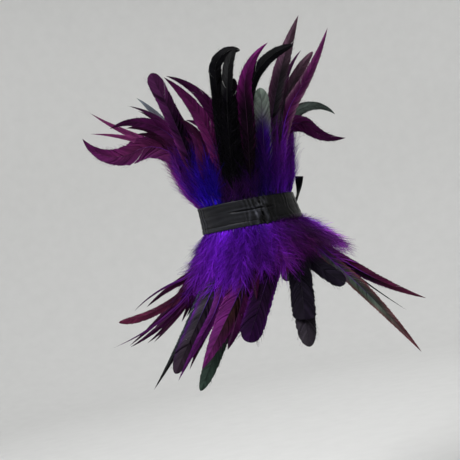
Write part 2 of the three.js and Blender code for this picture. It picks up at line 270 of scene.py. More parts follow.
# Shafts
SHAFT_SIDES = 5
SHAFT_SECTIONS = 17
SHAFT_END = 0.94
SHAFT_RADIUS = 0.62
SHAFT_TAPER = 0.5
SHAFT_RISE = 0.25
SHAFT_DYE_SPAN = (0.2, 0.7)
SHAFT_SHADE = 0.9
SHAFT_PALENESS = 1.5
SHAFT_GLINT = 3
PLUME_SHAFT = 0.5  # its thickness as a share of that of a long feather
PALE_SHAFT = (160, 80, 320)
PALE_SHAFT_SHARE = 0.07

# Soft barbs
DOWN_SECTIONS = 4
DOWN_REACH = 15
DOWN_WIDTH = 0.42  # half of it, at the root
DOWN_ROLL = 35
DOWN_LENGTHS = (0.55, 1.1)
DOWN_CURL = 0.35
DOWN_SCATTER = 0.14
DOWN_WAVES = (3, 7)
DOWN_SWAY = 0.6
DOWN_TAPER = 0.82
DOWN_TIP_DYE = (0.8, 0.35, -0.1)  # growth along the shaft and along the barb, and start
DOWN_CONTRAST = 0.16
CLUMP_CONTRAST = 0.22
CLUMP_WAVES = (12, 30)
STRAY_SHARE = 0.18  # of the soft barbs, which stand off at these degrees from their shaft
STRAY_OPENING = (45, 80)
STRAY_FROM = 0.2  # share of the shaft below which there are none
# Shares of the shaft, number and degrees from it, for the long feathers, the black ones and the short ones
VANE_DOWN = {"span": (0.1, 0.42), "count": 70, "opening": (18, 48)}
BLACK_DOWN = {"span": (0.1, 0.62), "count": 420, "opening": (6, 30)}
FILL_DOWN = {**VANE_DOWN, "count": 40}

# Feathers that aren't in the tables. The other side mirrors the rows between these angles. They are shorter
# in turn there by these shares, and lean out further, those below the band over a shoulder.
MIRROR_FROM = 35
MIRROR_TO = 148
MIRROR_LEANS = {1: 12, -1: 26}  # above the band and below it
MIRROR_LENGTHS = (0.8, 0.86, 0.76, 0.83)
# Shorter feathers stand beside the rows of a table past these angles, and thicken the mass that they make.
COMPANIONS_FROM = {1: 125, -1: 90}
COMPANION_LENGTHS = (0.9, 0.78, 0.66)
COMPANION_SCATTER = (0.94, 1.06)
COMPANION_WIDTHS = (0.8, 1.05)
COMPANION_LEANS = (1, 5)
COMPANION_TURN = 10
NARROWEST_COMPANION = 13
COMPANION_DYES = ("wine", "dark_plum", "wine")
LONE_DYES = ("leaf", "pink_plum", "purple_plum", "grey_blue", "maroon", "black_grey", "dark_green")
ANGLE_SCATTER = 4  # of where they stand and how they tilt
# Plumes and short feathers stand all round the band, scattered by these shares of a step and degrees.
PLACE_SCATTER = 0.35
LENGTH_SCATTER = (0.9, 1.05)
LEAN_SCATTER = 7
TURN_SCATTER = 12
ROUND_BEND = 0.5
ROUND_TAPER = 0.5
ROUND_FOLD = 8
FILL_STEP = 1.6
FILL_WIDTH = 15
FILL_DYES = ("plum", "wine", "dark_plum", "plum")
FULL_REACH = 0.86  # there are no short feathers where the fluff is shorter than this share

# Degrees round the band from the right edge of the side view, length, share of the length where the two
# bends meet, tilt to the right of the neck axis at the root, there and at the tip, lean out of the side
# view, width, turn about its own length, share of the length where the tip begins, fold of the vane about
# its shaft in degrees, and dye.
FEATHER_COLUMNS = (
    "round", "length", "bend_at", "tilt_root", "tilt_bend", "tilt_tip",
    "lean", "width", "turn", "taper", "fold", "dye",
)
UPPER_FEATHERS = [
    (162, 184, 0.63, -3, -113, -21, 8, 26, 0, 0.6, 8, "leaf"),
    (172, 175, 0.55, -7, -61, -48, 7, 9, 20, 0.6, 8, "pink_plum"),
    (172, 166, 0.55, -7, -60, -80, 11, 8, 20, 0.6, 8, "pink_plum"),
    (150, 164, 0.51, -4, -31, -111, 12, 16, 0, 0.6, 12, "dark_plum"),
    (189, 160, 0.52, -1, -19, -70, -4, 11, 20, 0.5, 8, "dark_plum"),
    (199, 159, 0.55, -9, -17, -44, -8, 20, 20, 0.4, 8, "grey_blue"),
    (140, 163, 0.5, -12, -11, -19, 18, 18, 0, 0.9, 12, "purple_plum"),
    (111, 168, 0.41, 2, 7, -68, 12, 15, 0, 0.6, 16, "dark_plum"),
    (116, 161, 0.31, 4, -2, -45, 18, 18, 0, 0.55, 12, "plum"),
    (127, 114, 0.58, -2, -3, -63, 18, 11, 0, 0.5, 10, "wine"),
    (111, 188, 0.77, 5, 4, 119, 18, 14, 0, 0.75, 12, "black"),
    (101, 170, 0.86, 3, 14, 52, 19, 13, 0, 0.8, 18, "glossy_black"),
    (101, 129, 0.64, -2, 2, 23, 16, 17, 0, 0.75, 12, "black"),
    (93, 135, 0.59, 0, 7, 16, 16, 15, 0, 0.75, 12, "black"),
    (89, 110, 0.64, -1, 5, 6, 15, 16, 0, 0.75, 12, "black"),
    (83, 180, 0.64, 8, 4, 66, 19, 19, 0, 0.6, 22, "magenta"),
    (76, 190, 0.58, 0, 16, 88, 10, 14, 0, 0.72, 10, "black"),
    (63, 119, 0.65, 7, 7, 5, 12, 18, 0, 0.85, 8, "grey_green"),
    (53, 201, 0.26, 0, 14, 32, 8, 18, 0, 0.68, 16, "grey_plum"),
    (14, 170, 0.7, 0, 21, 50, -2, 10, 0, 0.6, 8, "purple_plum"),
    (48, 167, 0.42, 6, 20, 50, 6, 13, 0, 0.72, 16, "grey_plum"),
    (31, 194, 0.58, 3, 44, 27, 14, 17, 0, 0.45, 10, "pink_magenta"),
    (14, 146, 0.51, -3, 26, 145, 0, 16, 0, 0.6, 8, "green"),
    (28, 156, 0.72, -19, 143, 91, 4, 21, 0, 0.6, 20, "dark_plum"),
]
LOWER_FEATHERS = [
    (164, 155, 0.47, -19, -59, -93, 5, 10, 20, 0.8, 14, "maroon"),
    (158, 177, 0.47, -21, -54, -79, 8, 5, 20, 0.3, 8, "purple"),
    (156, 127, 0.52, -26, -79, -53, 8, 4, 20, 0.3, 8, "purple"),
    (169, 159, 0.48, -23, -52, -61, 2, 11, 20, 0.4, 10, "dark_plum"),
    (137, 192, 0.3, -16, -32, -42, 15, 12, 0, 0.4, 20, "black_grey"),
    (124, 174, 0.31, -12, -35, -34, 20, 20, 0, 0.8, 14, "purple_edged"),
    (122, 184, 0.62, -12, -42, -36, 22, 13, 0, 0.4, 10, "purple"),
    (92, 180, 0.3, -5, -35, -38, 25, 25, 0, 0.6, 14, "magenta_brown"),
    (113, 186, 0.6, -9, -30, -34, 15, 17, 0, 0.75, 10, "dark_green"),
    (62, 154, 0.24, -8, -28, -29, 30, 26, 0, 0.85, 10, "violet_edged"),
    (44, 128, 0.25, 12, -6, -7, 31, 26, 0, 0.93, 6, "matte_black"),
    (45, 157, 0.26, 14, -9, -3, 28, 22, 0, 0.8, 6, "matte_grey"),
    (48, 103, 0.47, 9, 35, 51, 20, 18, 0, 0.85, 10, "matte_black"),
    (21, 173, 0.24, 22, 42, 63, 8, 14, 0, 0.5, 14, "maroon_black"),
    (21, 162, 0.26, 21, 38, 47, 10, 3, 0, 0.3, 6, "matte_black"),
    (28, 205, 0.28, 23, 38, 29, 10, 15, 0, 0.5, 12, "striped"),
]


def tones(body, edge, tip, **more):
    """Colours of a kind of feather along the shaft, along the edges of the vane and at its tip. The root
    takes the colour of the fluff round it, unless the dye has its own, and gives way to the rest over its
    span. A larger rim keeps the edge's colour closer to the edge. The other half of a vane in two tones has
    its own shaft and edge."""
    return {"body": body, "edge": edge, "tip": tip, "rim": 2, "span": ROOT_DYE_SPAN, **more}


DYES_AND_SHEEN = {
    "plum": tones((75, 6, 55), (120, 15, 95), (55, 5, 42)),
    "leaf": tones((100, 16, 75), (160, 24, 150), (70, 7, 60), other=((75, 10, 50), (110, 12, 85))),
    "pink_plum": tones((130, 16, 90), (240, 60, 170), (150, 20, 100)),
    "wine": tones((32, 2.5, 22), (55, 6, 38), (26, 3, 19)),
    "dark_plum": tones((42, 4, 36), (70, 9, 65), (26, 3, 23)),
    "purple_plum": tones(
        (28, 4, 32), (100, 14, 100), (75, 16, 70),
        root=(16, 2, 20), other=((6, 1, 8), (16, 3, 18)), rim=3,
    ),
    "magenta": tones(
        (36, 3, 30), (120, 9, 100), (130, 9, 110),
        root=(5, 1, 5), other=((28, 2.5, 22), (100, 7, 80)), span=(0.55, 0.85),
    ),
    "pink_magenta": tones(
        (60, 7, 50), (240, 110, 190), (130, 16, 100),
        other=((70, 8, 60), (220, 100, 170)), rim=4, span=(0.25, 0.46),
    ),
    "magenta_brown": tones(
        (34, 12, 14), (120, 14, 100), (120, 13, 110),
        other=((120, 13, 130), (180, 25, 190)), rim=5,
    ),
    "maroon": tones((60, 7, 28), (100, 20, 55), (100, 15, 42)),
    "maroon_black": tones((55, 7, 30), (90, 16, 50), (85, 12, 35), other=((4, 2, 4), (50, 6, 60)), rim=4),
    "purple": tones((55, 6, 65), (120, 14, 160), (90, 12, 110), other=((70, 7, 85), (130, 15, 180))),
    "grey_plum": tones(
        (36, 20, 34), (120, 40, 95), (95, 45, 72),
        root=(70, 9, 90), other=((15, 14, 17), (50, 38, 48)),
    ),
    "grey_green": tones((110, 80, 120), (170, 160, 170), (270, 340, 290), span=(0.6, 0.84)),
    "grey_blue": tones((70, 30, 60), (120, 130, 150), (150, 180, 210)),
    "green": tones((75, 95, 85), (15, 16, 15), (60, 75, 70)),
    "dark_green": tones((6, 9, 8), (13, 20, 17), (30, 50, 40)),
    "striped": tones(
        (40, 45, 40), (180, 55, 68), (120, 30, 45),
        other=((80, 115, 90), (180, 50, 60)), rim=3,
    ),
    "violet_edged": tones((12, 3, 17), (90, 6, 160), (18, 3, 30), rim=8),
    "purple_edged": tones(
        (28, 18, 30), (120, 10, 240), (34, 20, 33),
        other=((32, 26, 35), (100, 10, 220)), rim=4,
    ),
    "black_grey": tones((5, 5, 6), (20, 12, 18), (5, 4, 5), other=((12, 14, 17), (80, 100, 120)), rim=4),
    "matte_black": tones((11, 8, 16), (12, 9, 17), (10, 7, 14)),
    "matte_grey": tones((16, 12, 20), (22, 18, 26), (26, 21, 28)),
    "black": tones((2, 2, 3), (3, 3, 4), (3, 3, 4), root=(2, 1.5, 3)),
    # Painted sheen: one half of the vane is grey along the shaft, fading to near black at its edge, for the
    # glint on it; the other half is black
    "glossy_black": tones(
        (28, 28, 30), (14, 14, 15), (14, 14, 15),
        root=(2, 1.5, 3), other=((3, 3, 4), (2, 2, 3)), span=(0.72, 0.86),
    ),
}
BLACK_DYES = ("black", "glossy_black")

# Fluff round the band: degrees round it, share of the full reach, colour at the root and at the points
UPPER_ZONES = [
    # The rows up to 34 degrees are brighter partly as painted light, for the right side that the lamps leave
    # in shade.
    (0, 1.0, (140, 11, 560), (300, 30, 520)),
    (16, 1.0, (160, 12, 580), (280, 26, 420)),
    (34, 1.0, (130, 10, 500), (220, 22, 250)),
    (52, 1.0, (35, 3, 220), (120, 10, 260)),
    (70, 0.9, (12, 1, 110), (16, 2, 80)),
    (80, 0.24, (26, 3, 60), (32, 4, 50)),
    (116, 0.2, (22, 3, 60), (30, 4, 50)),
    (124, 0.9, (16, 1, 620), (30, 3, 260)),
    (150, 0.95, (30, 2, 420), (60, 5, 120)),
    (168, 0.85, (200, 16, 320), (260, 32, 180)),
    (240, 1.0, (50, 5, 240), (140, 15, 180)),
    (300, 1.0, (50, 5, 260), (130, 14, 220)),
]
LOWER_ZONES = [
    # The rows at 0 and 20 degrees are brighter partly as painted light, for the right side that the lamps
    # leave in shade.
    (0, 0.66, (260, 22, 740), (420, 75, 580)),
    (20, 0.66, (280, 24, 720), (420, 70, 540)),
    (32, 0.56, (50, 5, 90), (30, 4, 35)),
    (46, 0.5, (50, 5, 110), (30, 3, 45)),
    (62, 0.72, (110, 8, 280), (140, 11, 170)),
    (84, 0.85, (80, 5, 360), (110, 8, 240)),
    (104, 0.9, (130, 9, 520), (140, 11, 400)),
    (124, 0.84, (170, 11, 660), (180, 13, 540)),
    (150, 0.74, (150, 10, 540), (170, 14, 360)),
    (180, 0.7, (100, 8, 340), (100, 14, 130)),
    (270, 0.95, (110, 8, 400), (150, 12, 270)),
    (330, 0.9, (110, 8, 380), (150, 12, 260)),
]
# Plumes of fluff: number, lengths, tilts away from the neck at root and point, extra tilt at the right edge
UPPER_PLUMES = {"count": 120, "lengths": (74, 60, 78, 66), "tilts": (16, 8), "swing": -6}
LOWER_PLUMES = {"count": 120, "lengths": (72, 54, 80, 62), "tilts": (34, 37), "swing": 10}
# Short feathers between the long ones
UPPER_FILL = {"count": 40, "lengths": (112, 92, 120, 100), "tilts": (9, 8), "swing": -6}
LOWER_FILL = {"count": 26, "lengths": (98, 84, 104, 90), "tilts": (26, 33), "swing": 10}
# Barbs of the plumes, with their degrees from the shaft above the band and below it
BARBS_FOR_EACH_MM = 3.9
FLUFF_BARB_WIDTH = 0.29  # half of it, at the root
FLUFF_REACH = 20
FLUFF_SPAN = (0.03, 1)
FLUFF_OPENINGS = {1: (10, 34), -1: (14, 46)}
# On one side of the lower row, between these degrees, short barbs curl up over the edge of the band.
CURL_SPAN = (-15, 64)
CURL = {"span": (0.06, 0.22), "count": 16, "opening": (80, 135), "reach": 9, "roll": 80}
# Each plume is shaded, and stained with a dark dye, by a noise round the band and a scatter of its own: seed,
# largest number of turns, mean and spread.
FLUFF_SHADES = (21, 16, -0.05, 0.26)
FLUFF_STAINS = (31, 14, 0, 0.2)
FLUFF_WAVES = 7
FLUFF_MOTTLE = 0.4
MOST_STAIN = 0.9
ROOT_STAIN_SHARE = 0.4

# Materials: scale and range of the noise that mottles the dye, and of the one that varies the roughness
FEATHER_MOTTLE = (220.0, 0.45, 0.85)
FEATHER_GLOSS_SCALE = 90.0
FEATHER_GLOSS_RANGE = 0.08
SATIN_MOTTLE = (60.0, 0.75, 1.25)
SATIN_GLOSS = (130.0, 0.3, 0.44)
SATIN_WEAVE_SCALE = 900.0
SATIN_WEAVE_STRETCH = (1.0, 1.0, 6.0)
STAGE_TONES = ((0.70, 0.70, 0.69, 1), (0.76, 0.76, 0.75, 1))

# Finishes of the feather meshes, in the order of their material slots
VANE, DOWN, SHAFT = range(3)
# Shares of a cell of the map that a grid fills
CELL_ACROSS = (0.1, 0.9)
CELL_ALONG = (0.05, 0.95)


def unit(vectors):
    return vectors / np.linalg.norm(vectors, axis=-1, keepdims=True)


def smooth(values, low, high):
    share = np.clip((values - low) / (high - low), 0, 1)
    return share * share * (3 - 2 * share)


def mix(first, second, share):
    return first + (second - first) * np.asarray(share)[..., None]


def lit(colour):
    return np.array(colour) / 1000


def angle_from(angle, middle):
    return (angle - middle + 180) % 360 - 180


def bump_at(values, middle, width):
    return np.exp(-(((values - middle) / width) ** 2))


def ridge(values, line, shape):
    height, past, width = shape
    return height * bump_at(values, line + past, width)


def wall_noise(angle, z, seed, waves, most_turns):
    """Smooth noise on the band: a sum of waves round it and up it."""
    rng = np.random.default_rng(seed)
    total = np.zeros(np.broadcast(angle, z).shape)
    for _ in range(waves):
        turns = rng.integers(1, most_turns + 1)
        rise = rng.normal(0, NOISE_RISE)
        wave = np.sin(np.radians(angle) * turns + z * rise + rng.uniform(0, NOISE_PHASE))
        total += wave / math.sqrt(waves)
    return total


def outward(angle):
    angle = np.radians(angle)
    return np.stack([np.cos(angle), np.sin(angle), np.zeros_like(angle)], axis=-1)


def band_radius(z):
    return BAND_RADIUS - NECK_FLARE * z


def on_neck(angle, radius, z):
    """Point round the neck, whose middle leans to the front with the height."""
    angle, radius, z = np.broadcast_arrays(np.asarray(angle, float), radius, z)
    zero = np.zeros_like(angle)
    return np.stack([zero, -NECK_LEAN * z, z], axis=-1) + outward(angle) * np.asarray(radius)[..., None]


def root_at(angle, side, height=ROOT_HEIGHT):
    z = side * height
    return on_neck(angle, band_radius(z) - RIBBON_WALL - GAP - TAPE_WALL / 2, z)


# Ways to the right of the side view and out of it
ACROSS = outward(SIDE_AZIMUTH)
TOWARD = outward(SIDE_AZIMUTH - 90)


# Meshes


def numbered(points):
    return np.arange(points.size // 3).reshape(points.shape[:-1])


def quads(numbers, closed=(), flipped=False):
    """Faces of a grid of point numbers, or of many grids of one shape. Closed axes join up into loops."""
    for axis in closed:
        numbers = np.concatenate([numbers, np.take(numbers, [0], axis)], axis)
    near, far = numbers[..., :-1, :], numbers[..., 1:, :]
    corners = [near[..., :-1], near[..., 1:], far[..., 1:], far[..., :-1]]
    faces = np.stack(corners, axis=-1).reshape(-1, 4)
    return faces[:, [0, 3, 2, 1]] if flipped else faces


class Grids:
    """Gathers strips and tubes, each a grid of points, into the arrays of one mesh. Every grid has a cell
    of its own on the map."""

    def __init__(self):
        self.parts = []

    def add(self, points, dyes, finish):
        """points: grids, sections, points across and 3. dyes: the same, or without the points across."""
        if dyes.ndim == 3:
            dyes = np.broadcast_to(dyes[:, :, None, :], points.shape)
        self.parts.append((points, dyes, finish))

    def strips(self, middle, half, dyes, finish):
        self.add(np.stack([middle - half, middle + half], axis=2), dyes, finish)

    def arrays(self):
        columns = math.ceil(math.sqrt(sum(len(points) for points, _, _ in self.parts)))
        found = []
        first, cell = 0, 0
        for points, dyes, finish in self.parts:
            grids, sections, across, _ = points.shape
            faces = first + quads(numbered(points))
            cells = cell + np.arange(grids)[:, None, None]
            u = cells % columns + np.linspace(*CELL_ACROSS, across)
            v = cells // columns + np.linspace(*CELL_ALONG, sections)[:, None]
            places = np.stack(np.broadcast_arrays(u, v), axis=-1) / columns
            finishes = np.full(len(faces), finish)
            found.append((points.reshape(-1, 3), dyes.reshape(-1, 3), faces, places.reshape(-1, 2), finishes))
            first += points.size // 3
            cell += grids
        names = ("points", "dyes", "faces", "places", "finishes")
        return {name: np.concatenate(arrays) for name, arrays in zip(names, zip(*found))}


def make_object(name, points, faces, materials, finishes=None, dyes=None, places=None):
    mesh = bpy.data.meshes.new(name)
    mesh.vertices.add(points.size // 3)
    mesh.vertices.foreach_set("co", (points * MM).astype(np.float32).ravel())
    mesh.loops.add(faces.size)
    mesh.loops.foreach_set("vertex_index", faces.astype(np.int32).ravel())
    mesh.polygons.add(len(faces))
    mesh.polygons.foreach_set("loop_start", np.arange(0, faces.size, 4, dtype=np.int32))
    mesh.polygons.foreach_set("use_smooth", np.ones(len(faces), bool))
    for material in materials:
        mesh.materials.append(material)
    if finishes is not None:
        mesh.polygons.foreach_set("material_index", finishes.astype(np.int32))
    if places is not None:
        layer = mesh.uv_layers.new(name="OFBake")
        layer.data.foreach_set("uv", places[faces.ravel()].astype(np.float32).ravel())
    # Colour attribute: the dyes, with the painted light and shade that some pieces carry
    if dyes is not None:
        layer = mesh.color_attributes.new("dye", "FLOAT_COLOR", "POINT")
        whole = np.concatenate([dyes, np.ones((*dyes.shape[:-1], 1))], axis=-1)
        layer.data.foreach_set("color", whole.astype(np.float32).ravel())
    mesh.update(calc_edges=True)
    mesh.validate()
    made = bpy.data.objects.new(name, mesh)
    bpy.context.scene.collection.objects.link(made)
    return made


def make_piece(name, points, faces, materials, slot, **layers):
    """Mesh object that rides on the one body."""
    piece = make_object(name, points, faces, materials, **layers)
    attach(piece, "root")
    return piece


# Feathers


class Spine:
    """Centre line of a feather, with the ways along it, across its vane and out of its face."""

    def __init__(self, feather, root, side, aside, lean_to, normal):
        lean = math.radians(feather["lean"])

        def way(share):
            tilt = np.radians(tilt_at(feather, share))[:, None]
            rise = np.sin(tilt) * aside + side * np.cos(tilt) * UP
            return math.cos(lean) * rise + math.sin(lean) * lean_to

        middles = (np.arange(CURVE_STEPS) + 0.5) / CURVE_STEPS
        steps = way(middles) * feather["length"] / CURVE_STEPS
        self.place = root + np.vstack([np.zeros(3), np.cumsum(steps, axis=0)])
        self.along = way(np.linspace(0, 1, CURVE_STEPS + 1))
        wide = unit(np.cross(normal, self.along))
        thick = np.cross(self.along, wide)
        turn = math.radians(feather["turn"])
        self.wide = math.cos(turn) * wide + math.sin(turn) * thick
        self.thick = np.cross(self.along, self.wide)

    def at(self, share):
        spot = np.clip(share, 0, 1) * CURVE_STEPS
        low = np.minimum(spot.astype(int), CURVE_STEPS - 1)
        part = (spot - low)[..., None]
        arrays = (self.place, self.along, self.wide, self.thick)
        return [array[low] * (1 - part) + array[low + 1] * part for array in arrays]


def tilt_at(feather, share):
    """It grows slowly from the stiff root to the first bend, then evenly to the tip."""
    bend = feather["bend_at"]
    root, middle, tip = feather["tilt_root"], feather["tilt_bend"], feather["tilt_tip"]
    before = root + (middle - root) * (share / bend) ** 2
    after = middle + (tip - middle) * (share - bend) / (1 - bend)
    return np.where(share < bend, before, after)


def half_width(feather, share):
    grown = NARROWEST + (1 - NARROWEST) * smooth(share, *VANE_GROWTH)
    swell, fade = POINTED if feather["taper"] < ROUND_TIP else ROUNDED
    point = np.clip((share - feather["taper"]) / (1 - feather["taper"]), 0, 1)
    return feather["width"] / 2 * grown * (1 - point**swell) ** fade


def vane_side(feather, edge, wide, thick):
    """Way from the shaft to an edge of the folded vane."""
    fold = math.radians(feather["fold"])
    return math.cos(fold) * edge * wide - math.sin(fold) * thick


def parted_rows(tip, length, rng):
    """Runs of barbs between the splits of a vane, and how far each barb is pushed along the vane, in mm."""
    count = len(tip)
    low, high = (int(count * share) for share in SPLIT_SPAN)
    bounds = [0, *np.sort(rng.integers(low, high, rng.integers(0, MOST_SPLITS + 1))), count - 1]
    for first, last in zip(bounds, bounds[1:]):
        rows = np.arange(first, last + 1)
        depth = rng.uniform(*SPLIT_DEPTHS)
        push = np.zeros(len(rows))
        if first > 0:
            push += depth * np.exp(-(tip[rows] - tip[first]) * length / SPLIT_FADE)
        if last < count - 1:
            push -= depth * np.exp(-(tip[last] - tip[rows]) * length / SPLIT_FADE)
        if len(rows) > 1:
            yield rows, push


def root_colour(dye, plain):
    return lit(dye["root"]) if "root" in dye else plain


def vane_dyes(feather, root_tone, share, across, edge, rng):
    dye = DYES_AND_SHEEN[feather["dye"]]
    whole = (dye["body"], dye["edge"])
    shaft, rim = lit(whole if edge > 0 else dye.get("other", whole))
    body = mix(shaft, rim, across ** dye["rim"])
    body = mix(body, lit(dye["tip"]), smooth(share, *TIP_DYE_SPAN))
    grown = smooth(share + ROOT_DYE_SLANT * across, *dye["span"])
    colours = mix(root_colour(dye, root_tone), body, grown)
    tip = share[:, -1]
    bands = BAND_CONTRAST * np.sin(tip * rng.uniform(*BAND_WAVES) + rng.uniform(0, PHASE))
    streak = np.exp(rng.normal(0, BARB_CONTRAST, len(tip)) + bands)
    return colours * streak[:, None, None]


def add_vane(grids, spine, feather, root_tone, rng, step):
    """A sheet of barbs on each side of the shaft. Each barb runs out and forwards, and the sheet parts
    where it is split."""
    length = feather["length"]
    count = int(length * (1 - VANE_START) / step)
    out_share = np.linspace(0, 1, BARB_SECTIONS)
    tip = np.linspace(VANE_START, 1, count)
    for edge in (-1, 1):
        half = half_width(feather, tip) * rng.uniform(*BARB_LENGTHS, count)
        forward = np.maximum(half * BARB_SLANT, SHORTEST_BARB) / length
        root = np.clip(tip - forward, *BARB_ROOTS)
        share = root[:, None] + (tip - root)[:, None] * out_share**BARB_BEND
        dyes = vane_dyes(feather, root_tone, share, np.broadcast_to(out_share, share.shape), edge, rng)
        out = half[:, None] * ((1 + BARB_EASE) * out_share - BARB_EASE * out_share**2)
        cup = VANE_CUP * out**2 / (half[:, None] + 1)
        ripple = rng.normal(0, BARB_RIPPLE, count)[:, None] * out_share
        wave = VANE_WAVE * np.sin(tip * VANE_WAVES + rng.uniform(0, PHASE))[:, None] * out_share**2
        rise = ripple + wave - cup
        for rows, push in parted_rows(tip, length, rng):
            place, _, wide, thick = spine.at(share[rows] + push[:, None] / length * out_share**2)
            aside = vane_side(feather, edge, wide, thick)
            points = place + aside * out[rows][..., None] + thick * rise[rows][..., None]
            grids.add(points[None], dyes[None, rows], VANE)


def add_fray(grids, spine, feather, rng):
    """Loose ends of barbs past the edges of the vane."""
    count = int(feather["length"] * FRAY_FOR_EACH_MM)
    start = rng.uniform(*FRAY_SPAN, count)
    half = half_width(feather, start)
    t = np.linspace(0, 1, FRAY_SECTIONS)
    share = start[:, None] + FRAY_SLANT * t * half[:, None] / feather["length"]
    out = half[:, None] * (FRAY_START + t * rng.uniform(*FRAY_REACH, count)[:, None])
    place, along, wide, thick = spine.at(share)
    edge = rng.choice((-1, 1), count)[:, None, None]
    aside = vane_side(feather, edge, wide, thick)
    middle = place + aside * out[..., None] + FRAY_RISE * thick
    dye = DYES_AND_SHEEN[feather["dye"]]
    colours = mix(lit(dye["edge"]), lit(dye["tip"]), smooth(share, *TIP_DYE_SPAN))
    colours = colours * np.exp(rng.normal(*FRAY_SHADES, count))[:, None, None]
    grids.strips(middle, along * (FRAY_WIDTH * (1 - FRAY_TAPER * t))[:, None], colours, VANE)


def add_shaft(grids, spine, dyes, thickness=1.0):
    share = np.linspace(0, SHAFT_END, SHAFT_SECTIONS)
    place, _, wide, thick = spine.at(share)
    radius = thickness * (SHAFT_RADIUS - SHAFT_TAPER * share)
    angle = np.linspace(0, 2 * math.pi, SHAFT_SIDES + 1)
    ring = np.cos(angle)[None, :, None] * wide[:, None] + np.sin(angle)[None, :, None] * thick[:, None]
    points = (place + SHAFT_RISE * thick)[:, None] + ring * radius[:, None, None]
    grids.add(points[None], mix(*dyes, smooth(share, *SHAFT_DYE_SPAN))[None], SHAFT)


def add_down(
    grids, spine, dyes, rng, span, count, opening, reach=DOWN_REACH, width=DOWN_WIDTH, roll=DOWN_ROLL
):
    """Loose soft barbs along a stretch of a shaft."""
    share = rng.uniform(*span, count)
    place, along, wide, thick = spine.at(share)
    roll = np.radians(rng.uniform(-roll, roll, count))[:, None]
    edge = rng.choice((-1, 1), count)[:, None]
    aside = edge * np.cos(roll) * wide + np.sin(roll) * thick
    stray = (rng.random(count) < STRAY_SHARE) & (share > STRAY_FROM)
    opened = np.where(stray, rng.uniform(*STRAY_OPENING, count), rng.uniform(*opening, count))
    opened = np.radians(opened)[:, None]
    start = np.cos(opened) * along + np.sin(opened) * aside
    length = reach * rng.uniform(*DOWN_LENGTHS, count)
    t = np.linspace(0, 1, DOWN_SECTIONS)
    curl = DOWN_CURL * along + rng.normal(0, DOWN_SCATTER, (count, 3))
    sway = unit(np.cross(start, rng.normal(size=(count, 3))))
    wave = t * rng.uniform(*DOWN_WAVES, count)[:, None] + rng.uniform(0, PHASE, count)[:, None]
    path = t[:, None] * start[:, None] + t[:, None] ** 2 * curl[:, None]
    swayed = DOWN_SWAY * (np.sin(wave) * t)[..., None] * sway[:, None]
    middle = place[:, None] + path * length[:, None, None] + swayed
    half = sway[:, None] * (width * (1 - DOWN_TAPER * t))[:, None]
    on_shaft, on_barb, start_share = DOWN_TIP_DYE
    colours = mix(*dyes, np.clip(share[:, None] / span[1] * on_shaft + on_barb * t + start_share, 0, 1))
    clumps = CLUMP_CONTRAST * np.sin(share * rng.uniform(*CLUMP_WAVES) + rng.uniform(0, PHASE))
    shade = np.exp(rng.normal(0, DOWN_CONTRAST, count) + clumps)[:, None, None]
    grids.strips(middle, half, colours * shade, DOWN)


def zone_at(zones, around):
    """Share of the reach, root colour and tip colour at an angle round the band, with painted light on the
    right side.
    """
    angles = [row[0] for row in zones]

    def between(values):
        return np.interp(around % 360, angles, values, period=360)

    reach = between([row[1] for row in zones])
    root, tip = (lit([between([row[k][c] for row in zones]) for c in range(3)]) for k in (2, 3))
    return reach, root, tip


def add_feather(grids, spine, feather, zone, rng, step=BARB_STEP, down=VANE_DOWN):
    _, root_tone, tip_tone = zone
    dye = DYES_AND_SHEEN[feather["dye"]]
    add_vane(grids, spine, feather, mix(tip_tone, root_tone, ROOT_DYE_SHARE), rng, step)
    add_fray(grids, spine, feather, rng)
    pale = root_colour(dye, root_tone * SHAFT_PALENESS + lit(SHAFT_GLINT))
    add_shaft(grids, spine, (pale, lit(dye["body"]) * SHAFT_SHADE))
    soft = (root_colour(dye, root_tone), root_colour(dye, tip_tone))
    add_down(grids, spine, soft, rng, **(BLACK_DOWN if feather["dye"] in BLACK_DYES else down))


def side_feathers(feathers, zones, side, rng, hand=1, step=BARB_STEP):
    """Feathers on the side that the tables describe, or with a hand of -1 mirrored on the far side."""
    grids = Grids()
    for feather in feathers:
        around = feather["round"] * hand
        root = root_at(SIDE_AZIMUTH - around, side)
        spine = Spine(feather, root, side, ACROSS, TOWARD * hand, TOWARD * hand)
        add_feather(grids, spine, feather, zone_at(zones, around), rng, step)
    return grids


def for_far_side(feathers, side):
    """The middle of a table, a little shorter and leaning out further."""
    middle = [feather for feather in feathers if MIRROR_FROM < feather["round"] < MIRROR_TO]
    for i, feather in enumerate(middle):
        length = feather["length"] * MIRROR_LENGTHS[i % len(MIRROR_LENGTHS)]
        lean = feather["lean"] + MIRROR_LEANS[side]
        yield {**feather, "length": length, "lean": lean, "turn": -feather["turn"]}


def companions(feathers, side, rng):
    """Shorter feathers beside those of a table, which thicken the mass that they make."""
    for feather in feathers:
        if feather["dye"] in LONE_DYES or feather["round"] < COMPANIONS_FROM[side]:
            continue
        for share in COMPANION_LENGTHS:
            made = dict(feather)
            made["length"] *= share * rng.uniform(*COMPANION_SCATTER)
            made["round"] += rng.normal(0, ANGLE_SCATTER)
            made["lean"] -= rng.uniform(*COMPANION_LEANS)
            for key in ("tilt_root", "tilt_bend", "tilt_tip"):
                made[key] = made[key] * share + rng.normal(0, ANGLE_SCATTER)
            made["width"] = max(NARROWEST_COMPANION, made["width"] * rng.uniform(*COMPANION_WIDTHS))
            made["turn"] += rng.normal(0, COMPANION_TURN)
            made["dye"] = COMPANION_DYES[rng.integers(len(COMPANION_DYES))]
            yield made


